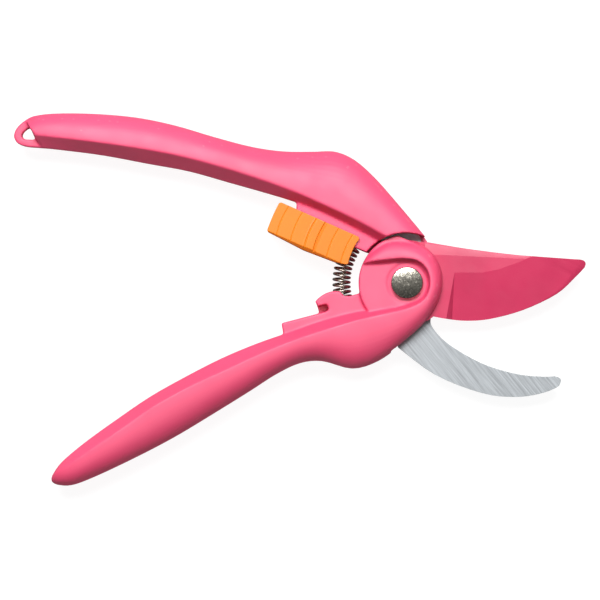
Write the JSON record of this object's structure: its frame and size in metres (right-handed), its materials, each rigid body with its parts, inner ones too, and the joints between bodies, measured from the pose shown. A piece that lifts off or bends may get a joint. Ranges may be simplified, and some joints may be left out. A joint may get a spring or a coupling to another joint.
{
  "type": "bypass hand snips",
  "caption": "Bypass garden snips with two moulded handles, coated hooked cutting blade, plain counter blade, coil return spring and sliding thumb lock.",
  "frame": {"origin": "on the pivot axis, at the plane the tool lies on (the flat rear face of the pivot boss)", "axes": "+Z along the pivot axis from the nut to the bolt head, +X along the blades away from the handles, +Y towards the upper handle; levers fully open at rest"},
  "size_m": [0.1904, 0.1242, 0.018],
  "materials": {
    "upper_grip": "satin moulded",
    "lower_grip": "satin moulded",
    "counter_steel": "brushed",
    "bolt_plate": "bright plated",
    "washer_steel": "zinc plated",
    "nut_steel": "zinc plated",
    "lock_plastic": "satin moulded",
    "spring_wire": "drawn wire",
    "blade_coat": "satin non-stick coating"
  },
  "bodies": {
    "upper_lever": {"upper_handle": "upper_grip", "counter_blade": "counter_steel", "pivot_bolt": "bolt_plate", "pivot_washer": "washer_steel", "pivot_nut": "nut_steel", "return_spring": "spring_wire"},
    "lower_lever": {"lower_handle": "lower_grip", "cutting_blade": "blade_coat"},
    "thumb_lock": {"lock_slider": "lock_plastic"}
  },
  "joints": [
    {"name": "handle_pivot", "type": "hinge", "parent": "upper_lever", "child": "lower_lever", "pos_m": [0, 0, 0], "axis": [0, 0, -1], "range_deg": [0, 39], "stiffness_Nm_per_rad": 1.2, "springref_deg": -22.92, "deforming": ["return_spring"]},
    {"name": "lock_slide", "type": "slide", "parent": "upper_lever", "child": "thumb_lock", "axis": [0.9143, -0.4051, 0], "range_m": [0, 0.004]}
  ]
}
